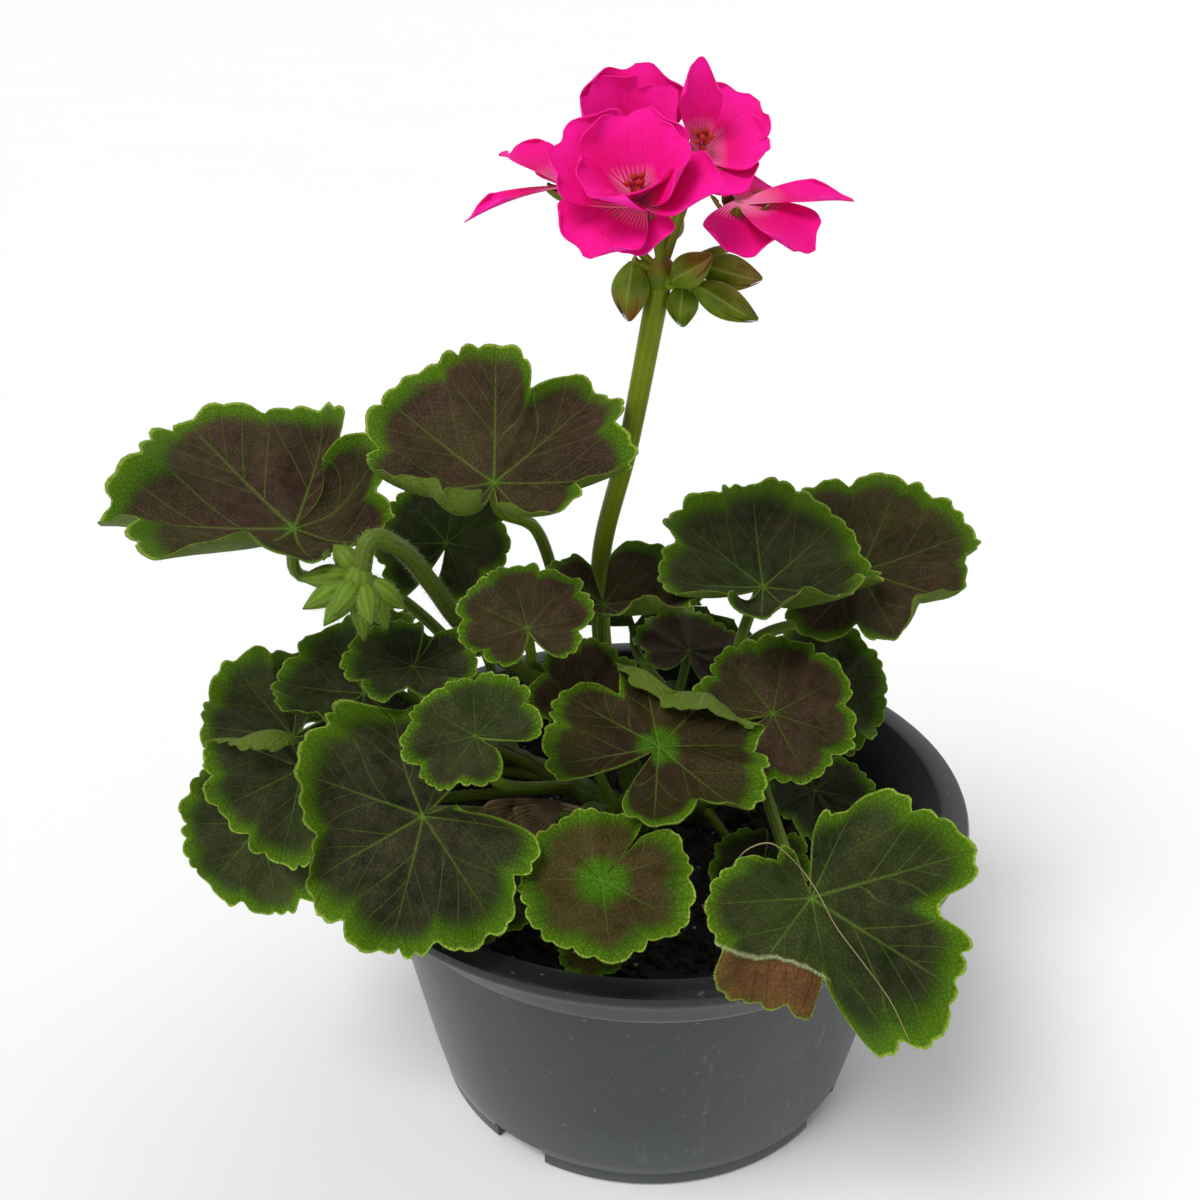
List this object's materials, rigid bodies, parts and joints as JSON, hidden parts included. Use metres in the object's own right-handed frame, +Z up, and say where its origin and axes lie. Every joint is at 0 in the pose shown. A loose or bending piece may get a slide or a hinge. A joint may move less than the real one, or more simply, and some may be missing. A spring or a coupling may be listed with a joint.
{
  "type": "potted geranium",
  "caption": "Zonal geranium with bronze-zoned scalloped leaves, a tall flower head and a nodding young bud head, in a shallow round nursery pot.",
  "frame": {"origin": "middle of the flat underside of the pot, on the surface that it stands on", "axes": "+Z up, -Y towards the plant's front as in the picture, +X to its right"},
  "size_m": [0.1863, 0.1482, 0.2205],
  "materials": {
    "pot": "satin dark grey moulded plastic, lightly scuffed",
    "soil": "damp dark potting mix with pale specks",
    "stem": "fleshy green stem with fine pale hairs",
    "leaf": "velvety leaf with a bronze-brown zone, a green scalloped margin and pale veins",
    "petal": "soft bright pink petal with darker veins and a pale throat",
    "stamen": "orange-red anthers",
    "bud": "light green, hairy young buds",
    "dry_leaf": "dry brown leaf"
  },
  "bodies": {
    "root": {"pot": "pot", "soil": "soil", "stem": "stem", "leaf_crown": "leaf", "leaf_wing": "leaf", "leaf_nook": "leaf", "leaf_perch": "leaf", "leaf_bridge": "leaf", "leaf_fan": "leaf", "leaf_outer_fan": "leaf", "leaf_drape": "leaf", "leaf_fold": "leaf", "leaf_shelf": "leaf", "leaf_elbow": "leaf", "leaf_apron": "leaf", "leaf_hanging": "leaf", "leaf_lowest": "leaf", "leaf_round": "leaf", "leaf_centre": "leaf", "leaf_screen": "leaf", "leaf_shade": "leaf", "leaf_flank": "leaf", "leaf_hidden": "leaf", "leaf_floor": "leaf", "leaf_gloom": "leaf", "leaf_spill": "leaf", "leaf_rim": "leaf", "leaf_sprout": "leaf", "leaf_back_left": "leaf", "leaf_back_middle": "leaf", "leaf_back_right": "leaf", "leaf_back_outer": "leaf", "flower_stalk": "stem", "bloom_front": "petal", "stamens_front": "stamen", "bloom_back": "petal", "stamens_back": "stamen", "bloom_top": "petal", "stamens_top": "stamen", "bloom_right": "petal", "bloom_left": "petal", "stamens_left": "stamen", "young_buds": "bud", "leaf_withered": "dry_leaf"}
  },
  "joints": []
}
